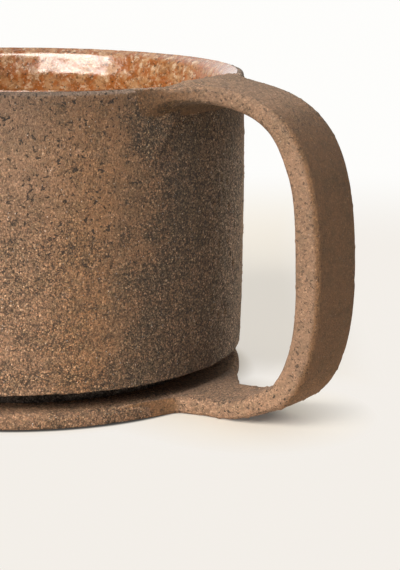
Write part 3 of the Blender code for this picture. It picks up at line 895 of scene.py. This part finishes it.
def makeGlazeMaterial(grainGroup):
    material, tree, shader = newMaterial("mottledGlaze", {
        "Metallic": 0, "IOR": lining["ior"], "Coat Weight": lining["coat"],
        "Coat Roughness": lining["coatRoughness"]})
    place = objectMillimetres(tree)
    grain = useGroup(tree, grainGroup, place)
    colour = lining["orange"]
    for scale, twist, low, high, shade, strength in lining["layers"]:
        share = fade(tree, addCloud(tree, place, scale, 3, twist), low, high, 0.0, strength)
        colour = mixColour(tree, share, colour, lining[shade])
    setInput(tree, shader, "Base Color", colour)
    setInput(tree, shader, "Roughness", remap(tree, grain["Blotch"], 0.0, 1.0, *lining["roughness"]))
    height = plus(tree, times(tree, grain["Blotch"], lining["waveBump"]),
                  times(tree, grain["Fine"], lining["fineBump"]))
    addBump(tree, shader, height, lining["bumpStrength"])
    return material


# studio, in metres
studio = {
    "lens": 105.7, "sensor": 36, "place": (0.2359, -0.2733, 0.1015),
    "turn": 34.61, "tilt": 12.99, "roll": 0.85,     # degrees to the left of +y, down, and about the view
    "roomTurn": 128, "roomRise": 0.25, "roomFade": (0.25, 0.95),     # the room is bright behind the cup
    "roomLevels": (0.11, 1.5),
    "roomColour": (0.99, 0.97, 0.83), "roomMirrored": (0.68, 0.63, 0.62),
    "lampColour": (1.0, 0.975, 0.93), "lampsMeet": (0.02, 0, 0.03),
    "keyPower": 57.0, "keySize": (1.0, 1.0), "keyPlace": (-0.227, -1.614, 1.0),
    "windowPower": 168.0, "windowSize": (1.75, 2.9), "windowPlace": (0.18, -1.43, 1.86),
}


def makeCamera():
    turn, tilt, roll = (math.radians(studio[name]) for name in ("turn", "tilt", "roll"))
    view = Vector((-math.sin(turn) * math.cos(tilt), math.cos(turn) * math.cos(tilt), -math.sin(tilt)))
    level = Vector((math.cos(turn), math.sin(turn), 0))
    upright = level.cross(view)
    across = level * math.cos(roll) + upright * math.sin(roll)
    upright = upright * math.cos(roll) - level * math.sin(roll)
    lens = bpy.data.cameras.new("camera")
    lens.lens, lens.sensor_width = studio["lens"], studio["sensor"]
    camera = bpy.data.objects.new("camera", lens)
    bpy.context.collection.objects.link(camera)
    turned = Matrix((across, upright, -view)).transposed().to_4x4()
    camera.matrix_world = Matrix.Translation(studio["place"]) @ turned
    bpy.context.scene.camera = camera


def makeLight():
    world = bpy.data.worlds.new("softRoom")
    bpy.context.scene.world = world
    world.use_nodes = True
    tree = world.node_tree
    room = tree.nodes["Background"]
    turn = math.radians(studio["roomTurn"])
    around = addNode(tree, "ShaderNodeTexCoord").outputs["Generated"]
    facing = vectorMath(tree, "DOT_PRODUCT", around, (math.cos(turn), math.sin(turn), studio["roomRise"]))
    mirrored = addNode(tree, "ShaderNodeLightPath").outputs["Is Glossy Ray"]
    setInput(tree, room, "Color", mixColour(tree, mirrored, studio["roomColour"], studio["roomMirrored"]))
    setInput(tree, room, "Strength", fade(tree, facing, *studio["roomFade"], *studio["roomLevels"]))
    makeLamp("keyLamp", "key").visible_glossy = False
    makeLamp("windowLamp", "window").visible_diffuse = False  # the bright window mirrored in the glaze


def makeLamp(name, kind):
    lamp = bpy.data.lights.new(name, "AREA")
    lamp.shape = "RECTANGLE"
    lamp.energy, lamp.color = studio[kind + "Power"], studio["lampColour"]
    lamp.size, lamp.size_y = studio[kind + "Size"]
    item = bpy.data.objects.new(name, lamp)
    bpy.context.collection.objects.link(item)
    item.location = studio[kind + "Place"]
    aim = Vector(studio["lampsMeet"]) - item.location
    item.rotation_euler = aim.to_track_quat("-Z", "Y").to_euler()
    return item


floorLook = {
    "size": 3.0, "below": 0.0001, "colour": (0.80, 0.77, 0.73), "roughness": 0.9,
    "near": (0.900, 0.862, 0.812), "far": (0.99, 0.985, 0.966), "farFade": (0.13, 0.29),
    "shade": (0.97, 0.93, 0.85),
    "rightWay": (0.82, 0.57, 0), "backWay": (-0.57, 0.82, 0),        # directions along the floor
    "glowNear": 0.10, "glowShade": 0.63, "discFade": (0.0465, 0.0515),
    "rightFade": (0.060, 0.080), "frontFade": (0.012, -0.016), "backFade": (0.14, 0.28),
    "strapEnd": 0.060, "strapFade": (0.004, 0.026),
    "contactShadow": 0.10, "contactShadowFade": (0.0480, 0.0489), "contactShadowBack": (-0.022, -0.008),   # painted contact shadow: a dark line on the floor round the front of the disc
}


def makeFloor():
    bm = bmesh.new()
    bmesh.ops.create_grid(bm, x_segments=4, y_segments=4, size=floorLook["size"])
    mesh = bpy.data.meshes.new("floor")
    bm.to_mesh(mesh)
    bm.free()
    floor = bpy.data.objects.new("floor", mesh)
    bpy.context.collection.objects.link(floor)
    floor.location.z = -floorLook["below"]
    material, tree, shader = newMaterial("paleFloor", {
        "Roughness": floorLook["roughness"], "Base Color": (*floorLook["colour"], 1)})
    # the seen floor glows with its own pale tone, painted light that washes out the cup's cast shadow; least
    # of all close to the cup, where its shadow lies
    place = addNode(tree, "ShaderNodeTexCoord").outputs["Object"]
    parts = addNode(tree, "ShaderNodeSeparateXYZ")
    setInput(tree, parts, 0, place)
    across = parts.outputs["X"]
    onStrap = most(tree, mathNode(tree, "MINIMUM", across, floorLook["strapEnd"]), 0.0)
    toStrap = addNode(tree, "ShaderNodeCombineXYZ")
    setInput(tree, toStrap, "X", mathNode(tree, "SUBTRACT", across, onStrap))
    join(tree, parts, "Y", toStrap, "Y")
    fromStrap = vectorMath(tree, "LENGTH", toStrap.outputs[0])
    fromAxis = vectorMath(tree, "LENGTH", place)
    right = vectorMath(tree, "DOT_PRODUCT", place, floorLook["rightWay"])
    back = vectorMath(tree, "DOT_PRODUCT", place, floorLook["backWay"])
    # fully glowing to the right, in front and far behind, so the cast shadow is painted out there
    clear = most(tree, fade(tree, right, *floorLook["rightFade"]),
                 fade(tree, back, *floorLook["frontFade"]), fade(tree, back, *floorLook["backFade"]))
    glow = remap(tree, fromAxis, *floorLook["discFade"], floorLook["glowNear"], floorLook["glowShade"])
    glow = plus(tree, glow, times(tree, clear, 1 - floorLook["glowShade"]))
    glow = mathNode(tree, "MINIMUM", glow,
                    remap(tree, fromStrap, *floorLook["strapFade"], floorLook["glowNear"], 1.0))
    tone = mixColour(tree, fade(tree, back, *floorLook["farFade"]), floorLook["near"], floorLook["far"])
    # painted contact shadow round the front of the disc
    contactShadow = most(tree, remap(tree, fromAxis, *floorLook["contactShadowFade"], floorLook["contactShadow"], 1.0),
                 remap(tree, back, *floorLook["contactShadowBack"]))
    tone = mixColour(tree, 1.0, tone, contactShadow, "MULTIPLY")
    shaded = mixColour(tree, 1.0, tone, floorLook["shade"], "MULTIPLY")
    seen = addNode(tree, "ShaderNodeBsdfDiffuse")
    setInput(tree, seen, "Color", mixColour(tree, glow, shaded, (0, 0, 0)))
    own = addNode(tree, "ShaderNodeEmission")
    setInput(tree, own, "Color", tone)
    setInput(tree, own, "Strength", glow)
    both = addNode(tree, "ShaderNodeAddShader")
    join(tree, seen, 0, both, 0)
    join(tree, own, 0, both, 1)
    rays = addNode(tree, "ShaderNodeLightPath").outputs
    choice = addNode(tree, "ShaderNodeMixShader")
    setInput(tree, choice, 0, most(tree, rays["Is Camera Ray"], rays["Is Glossy Ray"]))
    join(tree, shader, 0, choice, 1)
    join(tree, both, 0, choice, 2)
    join(tree, choice, 0, tree.nodes["Material Output"], "Surface")
    giveMaterial(floor, material)


groups = makeSpots(), makeGrain(), makeSand()
wallClay = makeClay("wallStoneware", groups, tone=0.93, part="wall")
strapClay = makeClay("strapStoneware", groups, part="strap")
discClay = makeClay("discStoneware", groups, tone=1.05)
innerClay = makeClay("innerStoneware", groups, tone=0.58, strong=0.40)     # shaded, so darker and greyer
glazeMaterial = makeGlazeMaterial(groups[1])
print("materials made")

giveMaterial(makeWall(), wallClay)
giveMaterial(makeDisc(), discClay)
giveMaterial(makeNeck(), innerClay)
giveMaterial(makeStrap(), strapClay)
giveMaterial(makeGlaze(), glazeMaterial)
for name in ("cup_floor", "floor_seam_coil"):
    giveMaterial(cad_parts[name], innerClay)

makeFloor()
makeLight()
makeCamera()
bpy.context.scene.view_settings.view_transform = "Standard"
